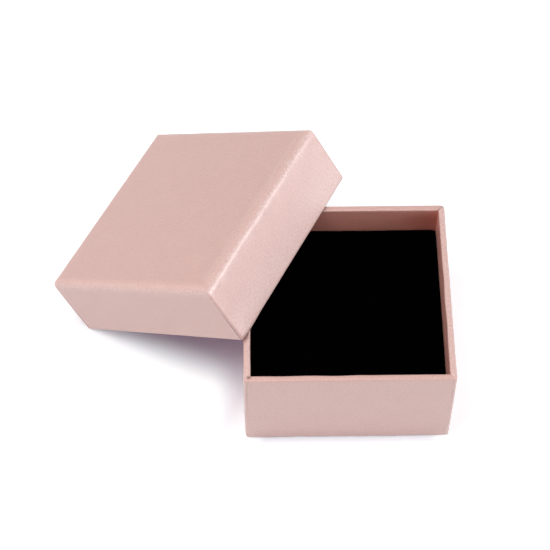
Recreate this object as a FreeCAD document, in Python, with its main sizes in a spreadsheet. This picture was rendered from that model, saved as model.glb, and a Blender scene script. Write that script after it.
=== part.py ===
"""Small square jewellery gift box with a telescoping lid and a velvet-faced foam insert.

The base and the lid are set-up trays: a scored board blank folded up and held at its corners
by paper stays, then covered by one sheet of pearl paper that turns over the rim and inside.
The base's sheet is also turned under, and a separate sheet pasted on the underside hides its hem.
The lid is off. It leans with one edge on the table and the other across the base's rim.
Millimetres, +Z up, origin at the middle of the base's underside, front towards -Y.
"""
import FreeCAD, Part
import math
import os
import Sketcher

SIZES = {
    "base_width": 47.5,  # outside of the square base, over the paper
    "base_height": 26.4,
    "lid_height": 17.0,
    "board_thickness": 1.2,
    "paper_thickness": 0.15,
    "lid_clearance": 0.25,  # between base and closed lid, each side
    "corner_radius": 0.5,  # upright corners, over the paper
    "base_fold_radius": 0.7,  # folded lower edges of the base, over the paper
    "lid_fold_radius": 1.9,  # folded top edges of the lid, over the paper
    "rim_radius": 0.4,  # rims, over the paper
    "base_turn_in": 15.0,  # paper turned inside, down from the rim
    "base_hem": 8.0,  # paper turned under the base
    "underside_margin": 1.5,  # underside sheet in from the base's edges
    "lid_turn_in": 12.0,
    "mitre_gap": 0.16,  # slit between neighbouring paper flaps at a corner
    "mitre_start": 2.4,  # height above the folded edges where the slits begin
    "butt_gap": 0.1,  # between neighbouring board walls at a corner
    "stay_width": 9.0,  # each leg of a corner stay
    "stay_thickness": 0.12,
    "stay_margin": 2.6,  # bare board above and below a stay
    "insert_recess": 7.7,  # top of the velvet below the base's rim
    "insert_clearance": 0.2,  # foam to wall, each side
    "insert_corner": 0.8,
    "velvet_thickness": 0.7,
    "velvet_edge": 0.45,
    "lean_yaw": 28.1,  # degrees that the leaning lid is turned, clockwise from above
    "lean_reach": 37.4,  # lid's resting corner, forward of the base's back left corner
    "lean_gap": 0.2,  # air under the lid at the base's rim
    "floor_gap": 0.1,  # air under the lid at the table
}
BASE_CORNERS = ("front_right", "back_right", "back_left", "front_left")
LID_CORNERS = ("front_left", "back_left", "back_right", "front_right")  # as seen once it is turned over
REACH = 2.0  # how far cutting shapes run past what they cut

doc = FreeCAD.newDocument("jewellery_box")
sizes = doc.addObject("Spreadsheet::Sheet", "sizes")
for row, (alias, size) in enumerate(SIZES.items(), 1):
    sizes.set("A%d" % row, alias)
    sizes.set("B%d" % row, str(size))
    sizes.setAlias("B%d" % row, alias)
doc.recompute()

# Names used in the formulas below, in terms of the sheet.
NAMED = {
    "WALL": "(sizes.board_thickness + 2 * sizes.paper_thickness)",
    "CARD": "(sizes.board_thickness + sizes.paper_thickness)",
    "LID_WIDTH": "(sizes.base_width + 2 * (WALL + sizes.lid_clearance))",
}


def formula(text):
    """Writes a formula's short names out in terms of the sheet."""
    for name in ("LID_WIDTH", "WALL", "CARD"):
        text = text.replace(name, NAMED[name])
    return text


def value(text):
    """A formula's number at the present sizes."""
    result = sizes.evalExpression(formula(text))
    return float(getattr(result, "Value", result))


def bind(thing, prop, text):
    thing.setExpression(prop, formula(text))


def new_body(name):
    return doc.addObject("PartDesign::Body", name)


def origin_plane(body, role):
    return next(f for f in body.Origin.OriginFeatures if f.Role == role)


def new_sketch(body, name, role, level="0"):
    """A sketch on one of the body's own planes, lifted along that plane's normal."""
    sketch = body.newObject("Sketcher::SketchObject", name)
    sketch.AttachmentSupport = [(origin_plane(body, role), "")]
    sketch.MapMode = "FlatFace"
    bind(sketch, "AttachmentOffset.Base.z", level)
    return sketch


def pin(sketch, line, end, across, up):
    """Fixes one end of a line at formulas for its two coordinates."""
    for kind, text in (("DistanceX", across), ("DistanceY", up)):
        index = sketch.addConstraint(Sketcher.Constraint(kind, -1, 1, line, end, value(text)))
        bind(sketch, "Constraints[%d]" % index, text)


def outline(sketch, corners):
    """A closed straight outline through corners given as pairs of formulas."""
    points = [FreeCAD.Vector(value(a), value(b), 0) for a, b in corners]
    first = sketch.GeometryCount
    count = len(points)
    for i, point in enumerate(points):
        sketch.addGeometry(Part.LineSegment(point, points[(i + 1) % count]), False)
    for i in range(count):
        after = first + (i + 1) % count
        sketch.addConstraint(Sketcher.Constraint("Coincident", first + i, 2, after, 1))
    for i, (across, up) in enumerate(corners):
        pin(sketch, first + i, 1, across, up)


def square(sketch, side):
    half = "(%s) / 2" % side
    minus = "-(%s) / 2" % side
    outline(sketch, [(minus, minus), (half, minus), (half, half), (minus, half)])


def feature(body, kind, name, sketch, length, **settings):
    thing = body.newObject("PartDesign::" + kind, name)
    thing.Profile = sketch
    for key, setting in settings.items():
        setattr(thing, key, setting)
    bind(thing, "Length", length)
    doc.recompute()
    return thing


def fillet(body, name, radius, chosen):
    """Rounds the edges of the body's tip for which chosen(edge) is true."""
    base = body.Tip
    names = ["Edge%d" % (i + 1) for i, edge in enumerate(base.Shape.Edges) if chosen(edge)]
    rounding = body.newObject("PartDesign::Fillet", name)
    rounding.Base = (base, names)
    bind(rounding, "Radius", radius)
    doc.recompute()


def upright(edge):
    """True for a straight edge along Z."""
    box = edge.BoundBox
    return box.XLength + box.YLength < 1e-6 < box.ZLength


def at_level(height):
    """Picks the edges that lie in the level plane at that height."""
    level = value(height)

    def chosen(edge):
        box = edge.BoundBox
        return abs(box.ZMin - level) < 1e-6 and abs(box.ZMax - level) < 1e-6

    return chosen


def rounded_tub(name, side, low, high, radius, fold, rim, cavity, floor):
    """An open tub: a square block with folded lower edges, hollowed from the top.

    The folds are quarter rounds that meet in a mitre, so each is cut right across the block.
    """
    body = new_body(name)
    plan = new_sketch(body, name + "_plan", "XY_Plane", low)
    square(plan, side)
    feature(body, "Pad", name + "_block", plan, "%s - (%s)" % (high, low))
    fillet(body, name + "_corners", radius, upright)
    for role in ("XZ_Plane", "YZ_Plane"):
        fold_waste(body, name + "_fold_" + role[:2], role, side, low, fold)
    mouth = new_sketch(body, name + "_mouth", "XY_Plane", high)
    square(mouth, cavity)
    feature(body, "Pocket", name + "_hollow", mouth, "%s - (%s)" % (high, floor))
    fillet(body, name + "_rim", rim, at_level(high))
    return body


def fold_waste(body, name, role, side, low, fold):
    """Cuts away what lies outside the quarter-round folds along two opposite lower edges."""
    sketch = new_sketch(body, name, role)
    edge = value("(%s) / 2" % side)
    base = value(low)
    radius = value(fold)
    for sign in (-1, 1):
        first = sketch.GeometryCount
        centre = FreeCAD.Vector(sign * (edge - radius), base + radius, 0)
        circle = Part.Circle(centre, FreeCAD.Vector(0, 0, 1), radius)
        start = 1.5 * math.pi if sign > 0 else math.pi
        arc = Part.ArcOfCircle(circle, start, start + math.pi / 2)
        inner = FreeCAD.Vector(sign * (edge - radius), base, 0)
        outer = FreeCAD.Vector(sign * edge, base + radius, 0)
        past = FreeCAD.Vector(sign * (edge + REACH), base + radius, 0)
        corner = FreeCAD.Vector(sign * (edge + REACH), base - REACH, 0)
        under = FreeCAD.Vector(sign * (edge - radius), base - REACH, 0)
        sketch.addGeometry(arc, False)
        for a, b in ((outer, past), (past, corner), (corner, under), (under, inner)):
            sketch.addGeometry(Part.LineSegment(a, b), False)
        arc_outer, arc_inner = (2, 1) if sign > 0 else (1, 2)
        sketch.addConstraint(Sketcher.Constraint("Coincident", first, arc_outer, first + 1, 1))
        for i in (1, 2, 3):
            sketch.addConstraint(Sketcher.Constraint("Coincident", first + i, 2, first + i + 1, 1))
        sketch.addConstraint(Sketcher.Constraint("Coincident", first + 4, 2, first, arc_inner))
        way = "" if sign > 0 else "-"
        inset = "%s((%s) / 2 - %s)" % (way, side, fold)
        beyond = "%s((%s) / 2 + %g)" % (way, side, REACH)
        pin(sketch, first, 3, inset, "%s + %s" % (low, fold))
        pin(sketch, first + 1, 1, "%s(%s) / 2" % (way, side), "%s + %s" % (low, fold))
        pin(sketch, first + 2, 1, beyond, "%s + %s" % (low, fold))
        pin(sketch, first + 3, 1, beyond, "%s - %g" % (low, REACH))
        pin(sketch, first + 4, 1, inset, "%s - %g" % (low, REACH))
        sketch.addConstraint(Sketcher.Constraint("Vertical", first + 4))
    length = "%s + %g" % (side, 2 * REACH)
    feature(body, "Pocket", name + "_cut", sketch, length, Midplane=True)


def corner_stay(name, side, low, high, turn):
    """A strip of tape folded round one upright corner of the board, let in flush."""
    body = new_body(name)
    plan = new_sketch(body, name + "_plan", "XY_Plane", low)
    out = "(%s) / 2" % side
    inner = "(%s) / 2 - sizes.stay_thickness" % side
    end = "(%s) / 2 - sizes.stay_width" % side
    ell = [(out, "-" + out), (out, "-(%s)" % end), (inner, "-(%s)" % end)]
    ell += [(inner, "-(%s)" % inner), (end, "-(%s)" % inner), (end, "-" + out)]
    outline(plan, ell)
    feature(body, "Pad", name + "_strip", plan, "%s - (%s)" % (high, low))

    def outer_corner(edge):
        box = edge.BoundBox
        return upright(edge) and abs(box.XMax - value(out)) + abs(box.YMin + value(out)) < 1e-6

    fillet(body, name + "_bend", "sizes.corner_radius - sizes.paper_thickness", outer_corner)
    body.Placement = FreeCAD.Placement(FreeCAD.Vector(), FreeCAD.Rotation(FreeCAD.Vector(0, 0, 1), turn))
    return body


def bar(name, length, width, low, high, turn, offset="0"):
    """A long thin upright bar through the middle of a tray, to cut slits at its corners."""
    box = doc.addObject("Part::Box", name)
    bind(box, "Length", length)
    bind(box, "Width", width)
    bind(box, "Height", "%s - (%s)" % (high, low))
    spin = FreeCAD.Rotation(FreeCAD.Vector(0, 0, 1), turn)
    box.Placement = FreeCAD.Placement(FreeCAD.Vector(), spin)
    middle = spin.multVec(FreeCAD.Vector(-value(length) / 2, -value(width) / 2 + value(offset), 0))
    box.Placement.Base = middle + FreeCAD.Vector(0, 0, value(low))
    return box


def cut(name, base, tools):
    """One solid less several, as a boolean in the document."""
    tool = tools[0]
    if len(tools) > 1:
        tool = doc.addObject("Part::Compound", name + "_waste")
        tool.Links = tools
    result = doc.addObject("Part::Cut", name)
    result.Base = base
    result.Tool = tool
    doc.recompute()
    return result


def tray(prefix, corners, side, height, fold, turn_in, hem=None):
    """Board blank, corner stays and paper wrap of one tray, mouth upwards on Z zero.

    The wrap covers the whole closed end, or with a hem only a border of it.
    """
    paper = "sizes.paper_thickness"
    board_side = "(%s - 2 * %s)" % (side, paper)
    board_top = "(%s - %s)" % (height, paper)
    board_radius = "(sizes.corner_radius - %s)" % paper
    board_fold = "(%s - %s)" % (fold, paper)
    board_rim = "(sizes.rim_radius - %s)" % paper
    board_cavity = "(%s - 2 * CARD)" % side
    blank = rounded_tub(prefix + "_blank", board_side, paper, board_top, board_radius,
                        board_fold, board_rim, board_cavity, "CARD")
    whole = rounded_tub(prefix + "_covered", side, "0", height, "sizes.corner_radius",
                        fold, "sizes.rim_radius", "(%s - 2 * WALL)" % side, "CARD")
    turned = new_sketch(whole, prefix + "_turn_in_edge", "XY_Plane", "%s - %s" % (height, turn_in))
    square(turned, board_cavity)
    feature(whole, "Pocket", prefix + "_bare_walls", turned, "%s - %s - CARD" % (height, turn_in))

    stay_low = "(%s + sizes.stay_margin)" % fold
    stay_high = "(%s - sizes.stay_margin)" % height
    stays = []
    for i, corner in enumerate(corners):
        name = "%s_tape_%s" % (prefix, corner)
        stays.append(corner_stay(name, board_side, stay_low, stay_high, 90 * i))

    span = "2 * (%s)" % side
    above = "(%s + %g)" % (height, REACH)
    seat = "(%s / 2 - sizes.board_thickness - sizes.butt_gap / 2)" % board_side
    butts = []
    for i, offset in enumerate((seat, "-" + seat)):
        name = "%s_butt_%d" % (prefix, i)
        butts.append(bar(name, span, "sizes.butt_gap", "CARD", above, 0, offset))
    mitres = []
    for i, turn in enumerate((45, -45)):
        name = "%s_mitre_%d" % (prefix, i)
        mitres.append(bar(name, span, "sizes.mitre_gap", fold + " + sizes.mitre_start", above, turn))
    bare = []
    if hem:
        middle = "(%s - 2 * %s)" % (side, hem)
        bare.append(bar(prefix + "_bare_middle", middle, middle, "-%g" % REACH, paper, 0))
    board = cut(prefix + "_board", blank, butts + stays)
    wrap = cut(prefix + "_wrap", whole, [blank] + mitres + bare)
    placed = []
    for corner, stay in zip(corners, stays):
        held = doc.addObject("Part::Compound", "%s_stay_%s" % (prefix, corner))
        held.Links = [stay]
        placed.append(held)
    return [board] + placed + [wrap]


def slab(name, side, low, high, radius):
    """A flat square layer with softened upright corners."""
    body = new_body(name)
    plan = new_sketch(body, name + "_plan", "XY_Plane", low)
    square(plan, side)
    feature(body, "Pad", name + "_layer", plan, "%s - (%s)" % (high, low))
    fillet(body, name + "_corners", radius, upright)
    return body


def underside():
    """Sheet pasted under the base over the wrap's hem. The box stands on it."""
    side = "(sizes.base_width - 2 * sizes.underside_margin)"
    return slab("base_underside", side, "0", "sizes.paper_thickness", "sizes.corner_radius")


def insert():
    """Foam block that fills the base up to the recess, with a velvet face bonded on top."""
    side = "(sizes.base_width - 2 * WALL - 2 * sizes.insert_clearance)"
    top = "(sizes.base_height - sizes.insert_recess)"
    seam = "(%s - sizes.velvet_thickness)" % top
    floor = "(CARD + sizes.paper_thickness)"
    foam = slab("insert_foam", side, floor, seam, "sizes.insert_corner")
    velvet = slab("insert_velvet", side, seam, top, "sizes.insert_corner")
    fillet(velvet, "velvet_edge_round", "sizes.velvet_edge", at_level(top))
    return [foam, velvet]


def lean_placement():
    """Where the lid leans: mouth down, left rim on the table, right rim on the base's rim.

    The inner edge of the lid's raised wall is what meets the base's rim, so the tilt follows
    from the base's height over the lid's width less that wall.
    """
    width = value("LID_WIDTH")
    rise = value("sizes.base_height + sizes.lean_gap - sizes.floor_gap")
    tilt = math.asin(rise / (width - value("WALL")))
    rim = value("sizes.rim_radius")
    yaw = FreeCAD.Rotation(FreeCAD.Vector(0, 0, 1), -value("sizes.lean_yaw"))
    tip = FreeCAD.Rotation(FreeCAD.Vector(0, 1, 0), -math.degrees(tilt))
    mouth_down = FreeCAD.Rotation(FreeCAD.Vector(0, 1, 0), 180)
    turn = yaw * tip
    corner = turn.multVec(FreeCAD.Vector(width / 2, -width / 2, 0))
    edge = value("sizes.base_width") / 2
    table = turn.multVec(FreeCAD.Vector(-width / 2, 0, 0)).z
    lift = value("sizes.floor_gap") - table + rim * (1 - math.sin(tilt) - math.cos(tilt))
    place = FreeCAD.Vector(-edge - corner.x, edge - value("sizes.lean_reach") - corner.y, lift)
    rise_to_top = turn.multVec(FreeCAD.Vector(0, 0, value("sizes.lid_height")))
    return FreeCAD.Placement(place + rise_to_top, turn * mouth_down)


base_nodes = tray("base", BASE_CORNERS, "sizes.base_width", "(sizes.base_height - sizes.paper_thickness)",
                  "sizes.base_fold_radius", "sizes.base_turn_in", "sizes.base_hem")
lid_nodes = tray("lid", LID_CORNERS, "LID_WIDTH", "sizes.lid_height", "sizes.lid_fold_radius",
                 "sizes.lid_turn_in")
insert_nodes = insert()
underside_node = underside()
doc.recompute()
on_underside = FreeCAD.Placement(FreeCAD.Vector(0, 0, value("sizes.paper_thickness")), FreeCAD.Rotation())
leaning = lean_placement()
for group, place in ((base_nodes, on_underside), (lid_nodes, leaning)):
    for node in group:
        node.Placement = place
doc.recompute()

nodes = base_nodes + [underside_node] + insert_nodes + lid_nodes
for thing in doc.Objects:
    if "Invalid" in thing.State or "Error" in thing.State:
        raise RuntimeError("%s did not build: %s" % (thing.Label, thing.State))
os.makedirs("parts", exist_ok=True)
for node in nodes:
    shape = node.Shape
    if shape.isNull() or not shape.isValid() or len(shape.Solids) != 1:
        raise RuntimeError("%s is not one valid solid" % node.Label)
    shape.exportStep("parts/%s.step" % node.Label)
    print("%-24s %10.3f mm3" % (node.Label, shape.Volume))
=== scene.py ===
import math
from collections import namedtuple

import bmesh
import bpy
from mathutils import Matrix, Vector, noise

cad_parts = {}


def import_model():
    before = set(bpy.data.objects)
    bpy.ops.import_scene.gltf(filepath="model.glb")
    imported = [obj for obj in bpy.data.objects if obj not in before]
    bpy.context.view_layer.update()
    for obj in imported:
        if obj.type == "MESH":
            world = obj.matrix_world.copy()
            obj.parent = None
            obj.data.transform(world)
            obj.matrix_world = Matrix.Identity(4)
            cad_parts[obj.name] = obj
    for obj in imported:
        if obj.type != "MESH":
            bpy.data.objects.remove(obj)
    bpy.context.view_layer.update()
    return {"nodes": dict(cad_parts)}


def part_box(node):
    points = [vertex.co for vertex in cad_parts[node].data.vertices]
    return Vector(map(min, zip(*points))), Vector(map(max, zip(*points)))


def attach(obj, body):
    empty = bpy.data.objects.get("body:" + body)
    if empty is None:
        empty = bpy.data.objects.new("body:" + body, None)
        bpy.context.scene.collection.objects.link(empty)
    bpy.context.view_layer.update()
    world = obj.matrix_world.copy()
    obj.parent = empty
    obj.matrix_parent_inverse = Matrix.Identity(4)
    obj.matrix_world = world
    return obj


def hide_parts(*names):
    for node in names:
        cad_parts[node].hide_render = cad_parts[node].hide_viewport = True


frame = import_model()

nodes = frame["nodes"]
scene = bpy.context.scene
scene.view_settings.view_transform = "Standard"

MM = 0.001

# Sizes of the box, in millimetres. They are those of the part's source, except that the base's fold and corners
# follow the photograph more closely.
PAPER = 0.15
WALL = 1.5
BASE_WIDTH = 47.5
BASE_HEIGHT = 26.4
BASE_HEM = 8.0
BASE_TURN_IN = 15.0
BASE_FOLD = 0.4
BASE_CORNER = 0.75
LID_WIDTH = 51.0
LID_HEIGHT = 17.0
LID_TURN_IN = 12.0
LID_FOLD = 1.9
LID_CORNER = 0.5
RIM_RADIUS = 0.4

# How the lid leans: turned on the table, in degrees, then raised on its right side.
LEAN_YAW = 28.1
LEAN_REACH = 37.4
LEAN_GAP = 0.2
FLOOR_GAP = 0.1


def lid_matrix():
    """The leaning lid's place: its own frame has the mouth's centre at the origin and the top along +Z."""
    tilt = math.asin((BASE_HEIGHT + LEAN_GAP - FLOOR_GAP) / (LID_WIDTH - WALL))
    turn = Matrix.Rotation(-math.radians(LEAN_YAW), 4, "Z") @ Matrix.Rotation(-tilt, 4, "Y")
    half = LID_WIDTH / 2
    front_corner = turn @ Vector((half, -half, 0))
    low_edge = turn @ Vector((-half, 0, 0))
    rounding = RIM_RADIUS * (1 - math.sin(tilt) - math.cos(tilt))
    place = Vector((
        -BASE_WIDTH / 2 - front_corner.x,
        BASE_WIDTH / 2 - LEAN_REACH - front_corner.y,
        FLOOR_GAP - low_edge.z + rounding,
    ))
    return Matrix.Translation(place * MM) @ turn


# Materials.
def colour(red, green, blue):
    """A linear colour from 8-bit display values."""
    def linear(c):
        c /= 255
        return c / 12.92 if c <= 0.04045 else ((c + 0.055) / 1.055) ** 2.4
    return (linear(red), linear(green), linear(blue), 1)


class Nodes:
    """A short way to write the node tree of a material or of the world."""

    def __init__(self, owner, shader="Principled BSDF"):
        owner.use_nodes = True
        self.owner = owner
        self.tree = owner.node_tree
        self.shader = self.tree.nodes[shader]

    def add(self, kind, inputs=None, **settings):
        node = self.tree.nodes.new(kind)
        for key, setting in settings.items():
            setattr(node, key, setting)
        for key, source in (inputs or {}).items():
            self.put(node, key, source)
        return node

    def put(self, node, key, source):
        if hasattr(source, "links"):
            self.tree.links.new(source, node.inputs[key])
        else:
            node.inputs[key].default_value = source

    def set(self, **inputs):
        """Settings of the shader, with _ for each space in an input's name."""
        for key, source in inputs.items():
            self.put(self.shader, key.replace("_", " "), source)

    def noise(self, where, scale, detail, roughness):
        node = self.add("ShaderNodeTexNoise", {"Vector": where, "Scale": scale, "Detail": detail,
                                               "Roughness": roughness})
        return node.outputs["Fac"]

    def ramp(self, source, *stops):
        node = self.add("ShaderNodeValToRGB", {"Fac": source})
        marks = node.color_ramp.elements
        while len(marks) < len(stops):
            marks.new(0.5)
        for mark, (place, tint) in zip(marks, stops):
            mark.position = place
            mark.color = tint
        return node.outputs["Color"]

    def span(self, source, low, high):
        """From 0 to 1 becomes from low to high."""
        node = self.add("ShaderNodeMapRange", {"Value": source, "To Min": low, "To Max": high})
        return node.outputs["Result"]

    def math(self, operation, first, second):
        node = self.add("ShaderNodeMath", {0: first, 1: second}, operation=operation)
        return node.outputs[0]

    def blend(self, first, first_share, second, second_share):
        return self.math("ADD", self.math("MULTIPLY", first, first_share),
                         self.math("MULTIPLY", second, second_share))

    def mix(self, factor, first, second, blend_type="MIX"):
        """Two colours, mixed; the inputs and the output of a Mix node's colours go by number."""
        node = self.add("ShaderNodeMix", {"Factor": factor, 6: first, 7: second}, data_type="RGBA",
                        blend_type=blend_type)
        return node.outputs[2]

    def bump(self, height, distance, strength):
        node = self.add("ShaderNodeBump", {"Height": height, "Distance": distance, "Strength": strength})
        return node.outputs["Normal"]

    def vertex_value(self, name):
        return self.add("ShaderNodeAttribute", attribute_name=name).outputs["Fac"]

    def sheet(self):
        """The flat sheet's own coordinates, in units of 10 mm."""
        return self.add("ShaderNodeUVMap", uv_map="sheet").outputs["UV"]

    def place(self):
        return self.add("ShaderNodeTexCoord").outputs["Object"]

    def rays(self):
        return self.add("ShaderNodeLightPath").outputs

    def seen(self, rays):
        """1 where the camera looks, directly, in a reflection or through glass, and 0 for other light."""
        return self.math("MAXIMUM", self.math("MAXIMUM", rays["Is Camera Ray"], rays["Is Glossy Ray"]),
                         rays["Is Transmission Ray"])


def material(name):
    return Nodes(bpy.data.materials.new(name))


# Painted light and shade in the paper's colour, where the mesh's vertex values ask for it: a redder painted shade
# on the turned-in inner walls, painted shade in gaps, corners and under the lid's resting corner, and painted
# light and highlights on the folds and rims.
INNER_SHADE_TINT = (1.38, 0.98, 0.88, 1)
PAINTED_SHADE_TINT = (0.26, 0.01, 0.012, 1)
PAINTED_LIGHT_TINT = colour(253, 230, 227)


def pearl_paper():
    m = material("pearl_paper")
    flat = m.sheet()
    fibres = m.noise(flat, scale=25, detail=5, roughness=0.68)
    clouds = m.noise(flat, scale=2.2, detail=3, roughness=0.5)
    flakes = m.noise(flat, scale=19, detail=3, roughness=0.6)
    laid = m.add("ShaderNodeTexWave", {"Vector": flat, "Scale": 5.2, "Distortion": 3.0, "Detail": 2.0,
                                       "Detail Scale": 3.0}, bands_direction="X").outputs["Fac"]
    grain = m.blend(fibres, 0.7, laid, 0.035)
    tint = m.ramp(m.blend(grain, 0.92, clouds, 0.08), (0.25, colour(207, 162, 154)),
                  (0.38, colour(218, 174, 165)), (0.51, colour(228, 187, 178)))
    # Painted shade: the turned-in inner walls are multiplied by a redder tint.
    tint = m.mix(m.vertex_value("inside"), tint, INNER_SHADE_TINT, "MULTIPLY")
    # Painted shade: darkened toward a deep red-brown where the mesh asks for shade.
    tint = m.mix(m.vertex_value("painted_shade"), tint, PAINTED_SHADE_TINT, "MULTIPLY")
    uneven = m.add("ShaderNodeMapRange", {"Value": flakes, "From Min": 0.36, "From Max": 0.62,
                                          "To Min": 0.12}).outputs["Result"]
    # Painted light: mixed toward a pale tint where the mesh asks for it, as highlights on the folds and rims.
    tint = m.mix(m.math("MULTIPLY", m.vertex_value("painted_light"), uneven), tint, PAINTED_LIGHT_TINT)
    m.set(Base_Color=tint, Roughness=m.span(fibres, 0.38, 0.54), Metallic=0.25, Specular_IOR_Level=0.5,
          Sheen_Weight=0.12, Sheen_Roughness=0.4, Sheen_Tint=colour(255, 236, 230),
          Coat_Weight=0.9, Coat_Roughness=0.2, Coat_Normal=m.bump(flakes, distance=0.00026, strength=0.9),
          Normal=m.bump(grain, distance=0.00002, strength=0.8))
    return m.owner


def greyboard():
    m = material("greyboard")
    where = m.place()
    fibres = m.noise(where, scale=900, detail=8, roughness=0.7)
    specks = m.noise(where, scale=2600, detail=2, roughness=0.5)
    mixed = m.blend(fibres, 0.75, specks, 0.25)
    tint = m.ramp(mixed, (0.3, colour(120, 112, 102)), (0.5, colour(158, 149, 138)),
                  (0.72, colour(184, 176, 165)))
    m.set(Base_Color=tint, Roughness=0.92, Specular_IOR_Level=0.2,
          Normal=m.bump(mixed, distance=0.00005, strength=0.6))
    return m.owner


def stay_tape():
    m = material("stay_tape")
    fibres = m.noise(m.place(), scale=1400, detail=6, roughness=0.65)
    tint = m.ramp(fibres, (0.3, colour(150, 116, 80)), (0.7, colour(186, 152, 112)))
    m.set(Base_Color=tint, Roughness=0.75, Specular_IOR_Level=0.3,
          Normal=m.bump(fibres, distance=0.00002, strength=0.5))
    return m.owner


def liner_paper():
    m = material("liner_paper")
    fibres = m.noise(m.place(), scale=1500, detail=6, roughness=0.62)
    tint = m.ramp(fibres, (0.3, colour(212, 174, 167)), (0.7, colour(226, 190, 184)))
    m.set(Base_Color=tint, Roughness=m.span(fibres, 0.4, 0.6), Metallic=0.1,
          Normal=m.bump(fibres, distance=0.00002, strength=0.4))
    return m.owner


def black_velvet():
    m = material("black_velvet")
    where = m.place()
    pile = m.noise(where, scale=5200, detail=3, roughness=0.6)
    crush = m.noise(where, scale=140, detail=3, roughness=0.5)
    tint = m.ramp(m.blend(pile, 0.6, crush, 0.4), (0.3, (0.0002, 0.0002, 0.0002, 1)),
                  (0.75, (0.001, 0.001, 0.0011, 1)))
    m.set(Base_Color=tint, Roughness=1.0, Specular_IOR_Level=0.0, Sheen_Weight=0.002, Sheen_Roughness=0.35,
          Sheen_Tint=(0.6, 0.6, 0.66, 1), Normal=m.bump(pile, distance=0.0002, strength=0.8))
    return m.owner


def black_foam():
    m = material("black_foam")
    cells = m.add("ShaderNodeTexVoronoi", {"Vector": m.place(), "Scale": 1500.0}).outputs["Distance"]
    tint = m.ramp(cells, (0.1, (0.003, 0.003, 0.003, 1)), (0.6, (0.02, 0.02, 0.021, 1)))
    m.set(Base_Color=tint, Roughness=0.95, Specular_IOR_Level=0.15,
          Normal=m.bump(cells, distance=0.0003, strength=0.8))
    return m.owner


PAPER_LOOK = pearl_paper()
BOARD_LOOK = greyboard()
TAPE_LOOK = stay_tape()
LINER_LOOK = liner_paper()
VELVET_LOOK = black_velvet()
FOAM_LOOK = black_foam()


def paint(obj, look):
    obj.data.materials.clear()
    obj.data.materials.append(look)


for name, node in nodes.items():
    if "stay" in name:
        paint(node, TAPE_LOOK)
    elif "board" in name:
        paint(node, BOARD_LOOK)
    elif name == "base_underside":
        paint(node, LINER_LOOK)


# What the meshes below share.
def smooth(value, low, high):
    """A soft rise from 0 at low to 1 at high, or a fall where low is the larger."""
    value = min(max((value - low) / (high - low), 0), 1)
    return value * value * (3 - 2 * value)


def bell(distance, width):
    return math.exp(-(distance / width) ** 2)


def ripple(x, y, z, size, seed):
    """Smooth unevenness between about -1 and 1, with bumps of that size in mm."""
    return noise.noise(Vector((x / size + seed, y / size - seed, z / size + 2 * seed)))


def waves(x, y, z, kinds, seed=0):
    """The sum of ripples, each given by its height, size and seed."""
    return sum(height * ripple(x, y, z, size, seed + own_seed) for height, size, own_seed in kinds)


def band(mesh, lower, upper):
    """Quads between two closed rows of vertices, in order."""
    faces = []
    for i in range(len(lower)):
        j = (i + 1) % len(lower)
        face = mesh.faces.new((lower[i], lower[j], upper[j], upper[i]))
        face.smooth = True
        faces.append(face)
    return faces


def mesh_object(name, mesh, look):
    data = bpy.data.meshes.new(name)
    mesh.to_mesh(data)
    mesh.free()
    obj = bpy.data.objects.new(name, data)
    scene.collection.objects.link(obj)
    paint(obj, look)
    return obj


# The covering papers. A tray is a base, or a lid with its closed end up; lengths are in millimetres.
Tray = namedtuple("Tray", "width height fold corner turn_in start_inset")
BASE = Tray(BASE_WIDTH, BASE_HEIGHT - PAPER, BASE_FOLD, BASE_CORNER, BASE_TURN_IN, BASE_HEM)
LID = Tray(LID_WIDTH, LID_HEIGHT, LID_FOLD, LID_CORNER, LID_TURN_IN, LID_FOLD + 2)

FRONT, RIGHT, BACK, LEFT = range(4)
OUTWARD = [Vector((0, -1, 0)), Vector((1, 0, 0)), Vector((0, 1, 0)), Vector((-1, 0, 0))]
ALONG = [Vector((1, 0, 0)), Vector((0, 1, 0)), Vector((-1, 0, 0)), Vector((0, -1, 0))]

# The mesh's columns: distances from a corner, angles round it, and steps along the rest of a side.
NEAR_CORNER = [0, 0.04, 0.08, 0.13, 0.2, 0.3, 0.45, 0.7, 1.1, 1.7, 2.6]
CORNER_ANGLES = [10, 20, 30, 40, 45, 50, 60, 70, 80]
MIDDLE_STEPS = 90
INNER_CORNER = 0.06

# The mesh's rows, as steps along each stretch of the section.
END_STEPS = 5
FOLD_STEPS = 12
WALL_STEPS = 22
RIM_STEPS = 6
RIM_FLAT_STEPS = 4
TURN_IN_STEPS = 12

# Units of the flat sheet's coordinates in 1 mm, and where the painted redder shade on the turned-in paper starts,
# below the rim.
SHEET_SCALE = 0.1
INNER_SHADE_START = (0.12, 0.6)

Column = namedtuple("Column", "kind side where end")
Spot = namedtuple("Spot", "kind side where reach inset drop out x y")


def columns():
    """Columns round a tray. Where is the distance from a side's end, the place along its middle stretch from -1
    to 1, or the angle round a corner."""
    found = []
    for side in range(4):
        found += [Column("side", side, distance, -1) for distance in NEAR_CORNER]
        found += [Column("middle", side, 2 * step / MIDDLE_STEPS - 1, 0) for step in range(1, MIDDLE_STEPS)]
        found += [Column("side", side, distance, 1) for distance in reversed(NEAR_CORNER)]
        found += [Column("corner", side, math.radians(angle), 1) for angle in CORNER_ANGLES]
    return found


def station(column, half, radius):
    """(point, outward direction, along the side from its middle) of a column on a square ring."""
    straight = half - radius
    out, along = OUTWARD[column.side], ALONG[column.side]
    if column.kind == "corner":
        aim = out * math.cos(column.where) + along * math.sin(column.where)
        return (out + along) * straight + aim * radius, aim, straight
    if column.kind == "side":
        reach = column.end * (straight - column.where)
    else:
        reach = column.where * (straight - NEAR_CORNER[-1])
    return out * half + along * reach, out, reach


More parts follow.
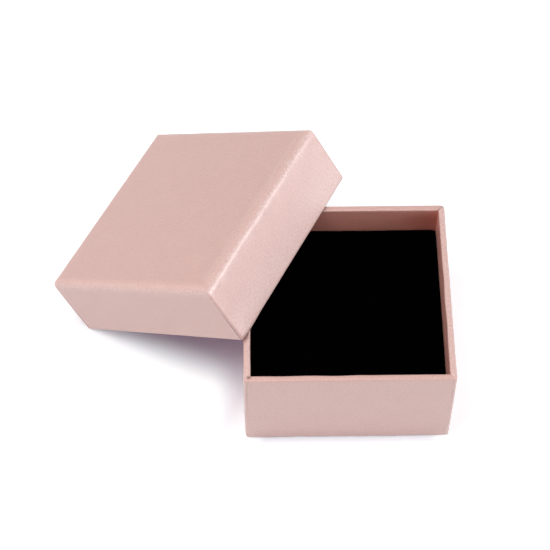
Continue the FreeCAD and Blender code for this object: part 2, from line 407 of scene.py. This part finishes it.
def arc(centre, radius, start, stop, steps):
    """Points (inset, drop, normal out, normal down) on a round between two angles, in degrees from outward."""
    found = []
    for step in range(steps + 1):
        angle = math.radians(start + (stop - start) * step / steps)
        out, down = math.cos(angle), math.sin(angle)
        found.append((centre[0] - radius * out, centre[1] + radius * down, out, down))
    return found


def run(first, last, normal, steps):
    """Points between two others on a straight stretch, without its ends."""
    return [(first[0] + (last[0] - first[0]) * s / steps, first[1] + (last[1] - first[1]) * s / steps, *normal)
            for s in range(1, steps)]


def section(tray):
    """The covering's section from the closed end, over the fold, along the wall and round the rim to the
    turn-in's end. Each point has an inset from the outer wall, a drop from the closed end, and its normal."""
    r, fold, height = RIM_RADIUS, tray.fold, tray.height
    end = height - tray.turn_in
    found = [(tray.start_inset, 0, 0, -1)]
    found += run((tray.start_inset, 0), (fold, 0), (0, -1), END_STEPS)
    found += arc((fold, fold), fold, -90, 0, FOLD_STEPS)
    found += run((0, fold), (0, height - r), (1, 0), WALL_STEPS)
    found += arc((r, height - r), r, 0, 90, RIM_STEPS)
    found += run((r, height), (WALL - r, height), (0, 1), RIM_FLAT_STEPS)
    found += arc((WALL - r, height - r), r, 90, 180, RIM_STEPS)
    found += run((WALL, height - r), (WALL, end), (-1, 0), TURN_IN_STEPS)
    found.append((WALL, end, -1, 0))
    return found


def covering(name, tray, shape, is_lid):
    """A folded paper cover as one closed shell with the thickness of paper. shape(spot) gives each spot's lift
    off the true surface, in mm, and how much painted shade and painted light it carries. A base has its closed end
    at height 0, open inside the hem, and a lid has it at the top, without an opening."""
    outer = section(tray)
    ring = columns()
    half = tray.width / 2
    mesh = bmesh.new()
    uv = mesh.loops.layers.uv.new("sheet")
    inside = mesh.verts.layers.float.new("inside")
    painted_shade = mesh.verts.layers.float.new("painted_shade")
    painted_light = mesh.verts.layers.float.new("painted_light")
    flat = {}

    travel = [0.0]
    for before, after in zip(outer, outer[1:]):
        travel.append(travel[-1] + math.dist(before[:2], after[:2]))

    def row_of(depth, travelled, inset, drop, out, down):
        row = []
        radius = max(tray.corner - inset, INNER_CORNER)
        turned_in = inset > WALL - RIM_RADIUS and drop > tray.fold
        for column in ring:
            point, aim, reach = station(column, half - inset, radius)
            spot = Spot(column.kind, column.side, column.where, reach, inset, drop, out, point.x, point.y)
            lift, shade, light = shape(spot)
            lift -= depth
            place = point + aim * (out * lift)
            level = drop + down * lift
            place.z = tray.height - level if is_lid else level
            vertex = mesh.verts.new(place * MM)
            # The turned-in walls below the rim get a painted redder shade.
            vertex[inside] = smooth(tray.height - drop, *INNER_SHADE_START) if turned_in else 0
            vertex[painted_shade] = shade
            vertex[painted_light] = light
            flat[vertex] = (reach, half - tray.start_inset + travelled)
            row.append(vertex)
        return row

    def join(lower, upper):
        for i, face in enumerate(band(mesh, lower, upper)):
            j = (i + 1) % len(ring)
            side = ring[i].side
            at_next_side = (lower[j], upper[j]) if ring[j].side != side else ()
            for loop in face.loops:
                reach, far = flat[loop.vert]
                if loop.vert in at_next_side:
                    reach = half
                spread = ALONG[side] * reach + OUTWARD[side] * far
                loop[uv].uv = (spread.x * SHEET_SCALE, spread.y * SHEET_SCALE)

    skins = [[row_of(depth, travelled, *point) for travelled, point in zip(travel, outer)]
             for depth in (0, PAPER)]
    for rows in skins:
        for lower, upper in zip(rows, rows[1:]):
            join(lower, upper)
    join(skins[0][-1], skins[1][-1])
    if is_lid:
        for rows in skins:
            for loop in mesh.faces.new(rows[0]).loops:
                loop[uv].uv = (loop.vert.co.x / MM * SHEET_SCALE, loop.vert.co.y / MM * SHEET_SCALE)
    else:
        join(skins[0][0], skins[1][0])
    bmesh.ops.recalc_face_normals(mesh, faces=mesh.faces)
    return mesh_object(name, mesh, PAPER_LOOK)


# Unevenness of the paper, as (height, size, seed), on all of it and on the folds.
PAPER_WAVES = ((0.02, 9, 0), (0.016, 3.2, 4))
FOLD_WAVES = ((0.11, 2.1, 9), (0.08, 5.5, 6))
FOLD_FADE = 1.5
RIM_BLEND = 0.2
MITRE_DEPTH = 0.07
MITRE_WIDTH = 0.11

# Flaps: the sheets of two sides lie over the other two at the upright corners and end past the corner, at an
# angle in degrees. The step rises toward the corner and along the wall's height, and the line beside it is
# painted shade.
OVERLAPPING = (LEFT, RIGHT)
FLAP_STEP = 0.06
FLAP_END = 65
FLAP_RAMP = (6, 0.6)
FLAP_BELOW_FOLD = 1
FLAP_FREE_SHARE = 0.45
FLAP_OPEN_SHARE = (0.3, 0.7)
FLAP_LINE = (0.22, 0.02)
FACING = 0.99


def off_diagonal(x, y):
    return abs(x - y) / math.sqrt(2)


def paper_shape(tray, seed, flap_shade, extra):
    """The paper's small departures from a true folded sheet: soft waves, flap edges at the corners and the mitred
    folds at the rim's corners. extra(spot) adds what only this tray has."""
    rim = tray.height - RIM_RADIUS

    def shape(spot):
        drop = spot.drop
        on_fold = smooth(drop, 0, tray.fold) * smooth(drop, tray.fold + FOLD_FADE, tray.fold)
        on_rim = smooth(drop, rim - RIM_BLEND, rim + RIM_BLEND)
        lift, shade, light = extra(spot)
        lift += waves(spot.x, spot.y, drop, PAPER_WAVES, seed)
        lift += on_fold * waves(spot.x, spot.y, drop, FOLD_WAVES, seed)
        lift -= MITRE_DEPTH * on_rim * bell(off_diagonal(abs(spot.x), abs(spot.y)), MITRE_WIDTH)
        if spot.out < FACING:
            return lift, shade, light
        step = FLAP_STEP * smooth(drop, tray.fold + FLAP_BELOW_FOLD, tray.height * FLAP_FREE_SHARE)
        # Painted shade along the line beside a flap's edge.
        line = flap_shade * smooth(drop, *(tray.height * share for share in FLAP_OPEN_SHARE))
        overlaps = spot.side in OVERLAPPING
        if spot.kind == "corner":
            past = spot.where if overlaps else math.pi / 2 - spot.where
            if past < math.radians(FLAP_END):
                lift += step
            else:
                shade = max(shade, line)
        elif overlaps:
            lift += step * smooth(tray.width / 2 - abs(spot.reach), *FLAP_RAMP)
        elif spot.kind == "side":
            shade = max(shade, line * smooth(spot.where, *FLAP_LINE))
        return lift, shade, light

    return shape


# Painted highlights on the lid's folds, for each side: how pale, how far below the top, and how far it spreads up.
FOLD_LIGHT = [0.34, 0.52, 0.3, 0.3]
FOLD_CREST = [0.9, 0.87, 1.55, 1.55]
FOLD_ABOVE = [0.7, 0.4, 0.5, 0.5]
FOLD_BELOW = 1.3
CREST_WAVES = ((0.3, 4, 2), (0.2, 1.4, 7))
CREST_SIDE_SHIFT = 9.0

# The lid's right side: painted lighter toward its mouth and on the top beside the fold, bowed near its front
# corner, and with a painted contact shadow under that corner, where it rests on the base. Ranges are from the top,
# the edge, the corner or the mouth.
WALL_LIGHT = 0.05
MOUTH_LIGHT = 0.22
MOUTH_FROM_TOP = (5, 15)
TOP_LIGHT = 0.25
TOP_FROM_EDGE = (LID_FOLD + 2, 1)
BOW = 0.16
BOW_START = (0.2, 2)
BOW_END = (10, 3)
BOW_FROM_MOUTH = (7, 0.2)
REST_SHADE = 0.6
REST_END = (4, 1.5)
REST_FROM_MOUTH = (0.5, 0.2)


def lid_extra(spot):
    """The lid's paper has painted highlights along the folds of the top, and its right wall is bowed, painted
    lighter toward its mouth and painted with a contact shadow under the corner it rests on."""
    side, drop = spot.side, spot.drop
    # A painted highlight along each fold, wavering along its length.
    crest = FOLD_CREST[side] + waves(spot.reach, side * CREST_SIDE_SHIFT, 0, CREST_WAVES)
    spread = FOLD_ABOVE[side] if drop < crest else FOLD_BELOW
    light = FOLD_LIGHT[side] * bell(drop - crest, spread) if spot.inset < LID_FOLD else 0
    if side != RIGHT or spot.kind == "corner":
        return 0, 0, light
    # Painted light: the right wall lighter toward its mouth, and the top lighter beside the fold.
    if spot.out >= FACING:
        light = max(light, WALL_LIGHT + MOUTH_LIGHT * smooth(drop, *MOUTH_FROM_TOP))
    elif drop < LID_FOLD:
        light = max(light, TOP_LIGHT * smooth(spot.inset, *TOP_FROM_EDGE))
    gap = LID_WIDTH / 2 + spot.reach
    mouth = LID_HEIGHT - drop
    bow = BOW * smooth(gap, *BOW_START) * smooth(gap, *BOW_END) * smooth(mouth, *BOW_FROM_MOUTH)
    # A painted contact shadow under the front corner, where the wall rests on the base.
    rest = REST_SHADE * smooth(gap, *REST_END) * smooth(mouth, *REST_FROM_MOUTH)
    return bow if spot.out > 0 else 0, rest, light


# The base's rim: a wavering inner edge, a corner pulled in at the back right, a pinhole at the front left darkened
# with painted shade, painted light on the left and right rims with a painted highlight on the left one's inner
# edge, and painted shade along the mitre line and on the inner wall at the back right. Ranges are of the distance
# below the rim, of the inset, or of the distance to the right of the middle.
WAVER = 0.1
WAVER_SIZE = 6
WAVER_SEED = 3
WAVER_SIDE_SHIFT = 7.0
WAVER_BELOW = (5, 1)
RIM_BELOW = (3, 0.5)
PULL = 0.1
PULL_WIDTH = 0.9
PULL_INSET = (1, 0.2)
PINHOLE = Vector((-22.62, -22.62))
PINHOLE_WIDTH = 0.38
PINHOLE_DEPTH = 0.1
PINHOLE_BELOW = 1
RIM_LIGHT = 0.3
RIM_LIGHT_BELOW = (0.9, 0.4)
INNER_EDGE_LIGHT = 0.8
INNER_EDGE_INSET = (WALL - 0.45, WALL - 0.2)
MITRE_SHADE = 0.55
MITRE_SHADE_BELOW = (0.6, 0.3)
MITRE_SHADE_WIDTH = 0.13
BACK_SHADE = 0.38
BACK_SHADE_INSET = WALL - 0.3
BACK_SHADE_RIGHT = (12, 22)
BACK_SHADE_BELOW = (0.3, 4)


def base_extra(spot):
    """The turned-in paper's edge at the rim wavers a little, the back right corner of the rim is pulled in, with
    painted shade along its mitre line and on the inner wall beside it, and the mitre at the front left corner
    leaves a pinhole, darkened with painted shade. The left and right rims are painted lighter, the left one's
    inner edge with a painted highlight."""
    side, inset, x, y = spot.side, spot.inset, spot.x, spot.y
    below = BASE_HEIGHT - spot.drop
    on_rim = smooth(below, *RIM_BELOW)
    lift = 0
    if spot.kind != "corner":
        inner = smooth(inset, WALL - RIM_RADIUS - RIM_BLEND, WALL)
        waver = ripple(spot.reach, side * WAVER_SIDE_SHIFT, 0, WAVER_SIZE, WAVER_SEED)
        lift += WAVER * inner * smooth(below, *WAVER_BELOW) * waver
    corner = math.hypot(x - BASE_WIDTH / 2, y - BASE_WIDTH / 2)
    lift -= PULL * on_rim * bell(corner, PULL_WIDTH) * smooth(inset, *PULL_INSET)
    shade = 0
    # The pinhole's darkness is painted shade.
    if below < PINHOLE_BELOW:
        shade = bell((Vector((x, y)) - PINHOLE).length, PINHOLE_WIDTH)
        lift -= PINHOLE_DEPTH * shade
    # Painted shade along the mitre line at the back right corner.
    if x > 0 and y > 0:
        mitre = on_rim * smooth(below, *MITRE_SHADE_BELOW) * bell(off_diagonal(x, y), MITRE_SHADE_WIDTH)
        shade = max(shade, MITRE_SHADE * mitre)
    # Painted shade on the inner back wall toward the right corner.
    if side == BACK and inset > BACK_SHADE_INSET:
        shade = max(shade, BACK_SHADE * smooth(x, *BACK_SHADE_RIGHT) * smooth(below, *BACK_SHADE_BELOW))
    # Painted light on the left and right rims, with a painted highlight on the left rim's inner edge.
    light = RIM_LIGHT * smooth(below, *RIM_LIGHT_BELOW) if side in (LEFT, RIGHT) else 0
    if side == LEFT:
        light *= 1 + INNER_EDGE_LIGHT * smooth(inset, *INNER_EDGE_INSET)
    return lift, shade, light * (1 - shade)


base_shape = paper_shape(BASE, seed=1.7, flap_shade=0.1, extra=base_extra)
base_cover = covering("base_cover", BASE, base_shape, is_lid=False)
base_cover.data.transform(Matrix.Translation((0, 0, PAPER * MM)))
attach(base_cover, "base")
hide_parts("base_wrap")

lid_shape = paper_shape(LID, seed=5.3, flap_shade=0.6, extra=lid_extra)
lid_cover = covering("lid_cover", LID, lid_shape, is_lid=True)
lid_cover.data.transform(lid_matrix())
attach(lid_cover, "lid")
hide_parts("lid_wrap")


# The insert: a foam block with a velvet face.
SLAB_ROUND_STEPS = 5
SLAB_WALL_STEPS = 8
SLAB_SIDE_STEPS = 44
SLAB_CAP_RINGS = [0.97, 0.9, 0.75, 0.55, 0.35, 0.15]
SLAB_CORNER = 0.8
SLAB_CORNER_PULL = 0.3
SLAB_WALL_WAVE = (4, 2.1)
SLAB_CAP_WAVE = (3.5, 8.4)


def slab(name, low, high, round_top, round_bottom, wave, look):
    """A soft block between two corners, with rounded edges and an uneven surface."""
    size = high - low
    half = size.x / 2
    centre = (low + high) / 2
    foot = Vector((centre.x, centre.y, low.z))
    bend_share = 2 * SLAB_CORNER / half
    mesh = bmesh.new()

    def ring(inset, height):
        row = []
        edge = half - inset
        for out, along in zip(OUTWARD, ALONG):
            for step in range(SLAB_SIDE_STEPS):
                t = 2 * step / SLAB_SIDE_STEPS - 1
                spot = out * edge + along * (edge * t)
                bend = max(abs(t) - (1 - bend_share), 0) / bend_share
                spot -= out * (SLAB_CORNER * SLAB_CORNER_PULL * bend * bend)
                spot += out * min(wave * ripple(spot.x, spot.y, height, *SLAB_WALL_WAVE), 0)
                spot.z = height
                row.append(mesh.verts.new((foot + spot) * MM))
        return row

    def cap(row, unevenness):
        before = row
        middle = Vector((centre.x, centre.y, row[0].co.z / MM))
        for part in SLAB_CAP_RINGS:
            after = []
            for vertex in row:
                spot = middle + (vertex.co / MM - middle) * part
                spot.z += unevenness * ripple(spot.x, spot.y, 0, *SLAB_CAP_WAVE)
                after.append(mesh.verts.new(spot * MM))
            band(mesh, before, after)
            before = after
        mesh.faces.new(before).smooth = True

    turns = [math.radians(90 * step / SLAB_ROUND_STEPS) for step in range(SLAB_ROUND_STEPS + 1)]
    tall = size.z - round_top - round_bottom
    rows = [ring(round_bottom * (1 - math.sin(turn)), round_bottom * (1 - math.cos(turn))) for turn in turns]
    rows += [ring(0, round_bottom + tall * step / SLAB_WALL_STEPS) for step in range(1, SLAB_WALL_STEPS)]
    rows += [ring(round_top * (1 - math.cos(turn)), size.z - round_top + round_top * math.sin(turn))
             for turn in turns]
    for lower, upper in zip(rows, rows[1:]):
        band(mesh, lower, upper)
    cap(rows[-1], wave)
    cap(rows[0], 0)
    bmesh.ops.recalc_face_normals(mesh, faces=mesh.faces)
    return mesh_object(name, mesh, look)


def node_box(name):
    low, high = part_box(name)
    return Vector(low) / MM, Vector(high) / MM


foam_low, foam_high = node_box("insert_foam")
foam = slab("foam_core", foam_low, foam_high, round_top=0.15, round_bottom=0.4, wave=0.08, look=FOAM_LOOK)
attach(foam, "insert")
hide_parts("insert_foam")

velvet_low, velvet_high = node_box("insert_velvet")
velvet = slab("velvet_face", velvet_low, velvet_high, round_top=0.45, round_bottom=0.05, wave=0.05,
              look=VELVET_LOOK)
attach(velvet, "insert")
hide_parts("insert_velvet")


# The floor: white, with a glow for what the camera sees. The glow is held back beside the lid and the base in
# the shape of their shadow, a painted shadow laid over the real one, and comes back where little stands above.
# All lengths here are in metres.
FLOOR_REACH = 3
FLOOR_DROP = 0.00005
FLOOR_WHITE = (0.84, 0.88, 0.91, 1)
# The glow's colour in the painted shadow's core, half way out, and on the open floor.
DEEP_GLOW = (0.062, 0.03, 0.075, 1)
HALF_GLOW = (0.292, 0.293, 0.318, 1)
OPEN_GLOW = (0.5, 0.49, 0.49, 1)
HALF_GLOW_AT = 0.6

# The lid's shade is a band along its front edge: the direction across it, its middle and its half widths, and
# where it ends to the right, to the left and behind.
LID_SHADE_ACROSS = (0.394, 0.919, 0)
LID_SHADE_MIDDLE = -0.003
LID_SHADE_HALF = (0.0083, 0.0195)
LID_SHADE_RIGHT = (-0.022, -0.01)
LID_SHADE_LEFT = (-0.056, -0.07)
SHADE_BEHIND = (0.008, 0.016)

# The base's shade lies beside its left wall and below its front edge. The third number is the least glow.
WALL_SHADE_X = -0.024
WALL_SHADE_HALF = (0, 0.0085, 0.1)
WALL_SHADE_FRONT = (-0.008, -0.029)
FRONT_SHADE_Y = -0.0238
FRONT_SHADE_HALF = (0, 0.003, 0.35)
FRONT_SHADE_ENDS = (0.016, 0.0235)

SKY_REACH = 0.05
SKY_SAMPLES = 24
SKY_OPEN = (0.62, 0.92)
FAR_FLOOR = (0.14, 0.5)
FAR_GLOW = 0.6


def floor_white():
    m = material("floor_white")
    m.set(Base_Color=FLOOR_WHITE, Roughness=0.9, Specular_IOR_Level=0.1)
    spot = m.add("ShaderNodeNewGeometry").outputs["Position"]
    across = m.add("ShaderNodeVectorMath", {0: spot, 1: LID_SHADE_ACROSS},
                   operation="DOT_PRODUCT").outputs["Value"]
    away = m.add("ShaderNodeVectorMath", {0: spot}, operation="LENGTH").outputs["Value"]
    sideways, depth, _ = m.add("ShaderNodeSeparateXYZ", {"Vector": spot}).outputs
    sky = m.add("ShaderNodeAmbientOcclusion", {"Distance": SKY_REACH}, samples=SKY_SAMPLES).outputs["AO"]

    def rise(source, low, high, least=0.0):
        return m.add("ShaderNodeMapRange", {"Value": source, "From Min": low, "From Max": high,
                                            "To Min": least}, interpolation_type="SMOOTHSTEP").outputs["Result"]

    def distance(source, middle):
        return m.math("ABSOLUTE", m.math("ADD", source, -middle), 0)

    def largest(first, *others):
        for other in others:
            first = m.math("MAXIMUM", first, other)
        return first

    behind = rise(depth, *SHADE_BEHIND)
    past_lid = largest(rise(distance(across, LID_SHADE_MIDDLE), *LID_SHADE_HALF),
                       rise(sideways, *LID_SHADE_RIGHT), rise(sideways, *LID_SHADE_LEFT), behind)
    past_wall = largest(rise(distance(sideways, WALL_SHADE_X), *WALL_SHADE_HALF), behind,
                        rise(depth, *WALL_SHADE_FRONT))
    past_front = largest(rise(distance(depth, FRONT_SHADE_Y), *FRONT_SHADE_HALF),
                         rise(distance(sideways, 0), *FRONT_SHADE_ENDS))
    # The painted shadow's shape: lowest where the lid's, the wall's and the front edge's bands overlap.
    beside = m.math("MULTIPLY", m.math("MULTIPLY", past_lid, past_wall), past_front)
    tint = m.ramp(largest(beside, rise(sky, *SKY_OPEN)), (0, DEEP_GLOW), (HALF_GLOW_AT, HALF_GLOW),
                  (1, OPEN_GLOW))
    rays = m.rays()
    far = m.math("MULTIPLY", rays["Is Camera Ray"], rise(away, *FAR_FLOOR))
    level = m.math("ADD", m.seen(rays), m.math("MULTIPLY", far, FAR_GLOW))
    glow = m.add("ShaderNodeEmission", {"Color": tint, "Strength": level})
    both = m.add("ShaderNodeAddShader", {0: m.shader.outputs[0], 1: glow.outputs[0]})
    m.put(m.tree.nodes["Material Output"], "Surface", both.outputs[0])
    return m.owner


def floor():
    mesh = bmesh.new()
    mesh.faces.new([mesh.verts.new((x * FLOOR_REACH, y * FLOOR_REACH, -FLOOR_DROP))
                    for x, y in ((-1, -1), (1, -1), (1, 1), (-1, 1))])
    obj = mesh_object("floor", mesh, floor_white())


# The light and the camera. The camera was solved from straight edges in the photograph: its focal length is in
# pixels, its angles are in degrees and its place is in millimetres.
WORLD_LIGHT = 0.3
LIT_SPOT = Vector((-0.01, 0.005, 0.015))
PIXELS = 550
FOCAL_PIXELS = 1807.87
SENSOR = 36.0
CAMERA_AZIMUTH = -0.269
CAMERA_ELEVATION = 56.8326
CAMERA_ROLL = 0.4362
CAMERA_PLACE = (-17.509, -223.266, 374.832)


def world():
    """A white background for what the camera sees, and a weaker light for everything else."""
    scene.world = bpy.data.worlds.new("studio")
    w = Nodes(scene.world, "Background")
    w.set(Color=(1, 1, 1, 1), Strength=w.span(w.seen(w.rays()), WORLD_LIGHT, 1))


def softbox(name, towards, distance, size, power, tint=(1, 1, 1), shine=True):
    light = bpy.data.lights.new(name, "AREA")
    light.shape = "DISK"
    light.size = size
    light.energy = power
    light.color = tint
    obj = bpy.data.objects.new(name, light)
    aim = Vector(towards).normalized()
    obj.location = LIT_SPOT + aim * distance
    obj.rotation_euler = aim.to_track_quat("Z", "Y").to_euler()
    obj.visible_glossy = shine
    scene.collection.objects.link(obj)


def camera():
    azimuth, elevation = math.radians(CAMERA_AZIMUTH), math.radians(CAMERA_ELEVATION)
    back = Vector((math.sin(azimuth) * math.cos(elevation), -math.cos(azimuth) * math.cos(elevation),
                   math.sin(elevation)))
    right = (-back).cross(Vector((0, 0, 1))).normalized()
    down = (-back).cross(right)
    roll = math.radians(CAMERA_ROLL)
    turned = right * math.cos(roll) + down * math.sin(roll)
    lower = down * math.cos(roll) - right * math.sin(roll)
    data = bpy.data.cameras.new("camera")
    data.sensor_width = SENSOR
    data.lens = FOCAL_PIXELS * SENSOR / PIXELS
    data.clip_start = 0.01
    data.clip_end = 20
    obj = bpy.data.objects.new("camera", data)
    pose = Matrix((turned, -lower, back)).transposed().to_4x4()
    obj.matrix_world = Matrix.Translation(Vector(CAMERA_PLACE) * MM) @ pose
    scene.collection.objects.link(obj)
    scene.camera = obj


floor()
world()
softbox("key", towards=(0.94, -0.2, 0.3), distance=0.6, size=0.34, power=1.8, tint=(0.82, 0.945, 1))
softbox("glint", towards=(0.79, 0.09, 0.61), distance=0.6, size=0.16, power=0.025)
softbox("overhead", towards=(-0.4, -0.08, 0.9), distance=0.7, size=0.5, power=2.48, tint=(1, 0.966, 0.944))
softbox("left", towards=(-1, -0.05, 0.3), distance=0.7, size=0.9, power=0.8)
softbox("front", towards=(-0.15, -1, 0.02), distance=0.7, size=0.3, power=0.035, tint=(0.3, 0.7, 1), shine=False)
camera()
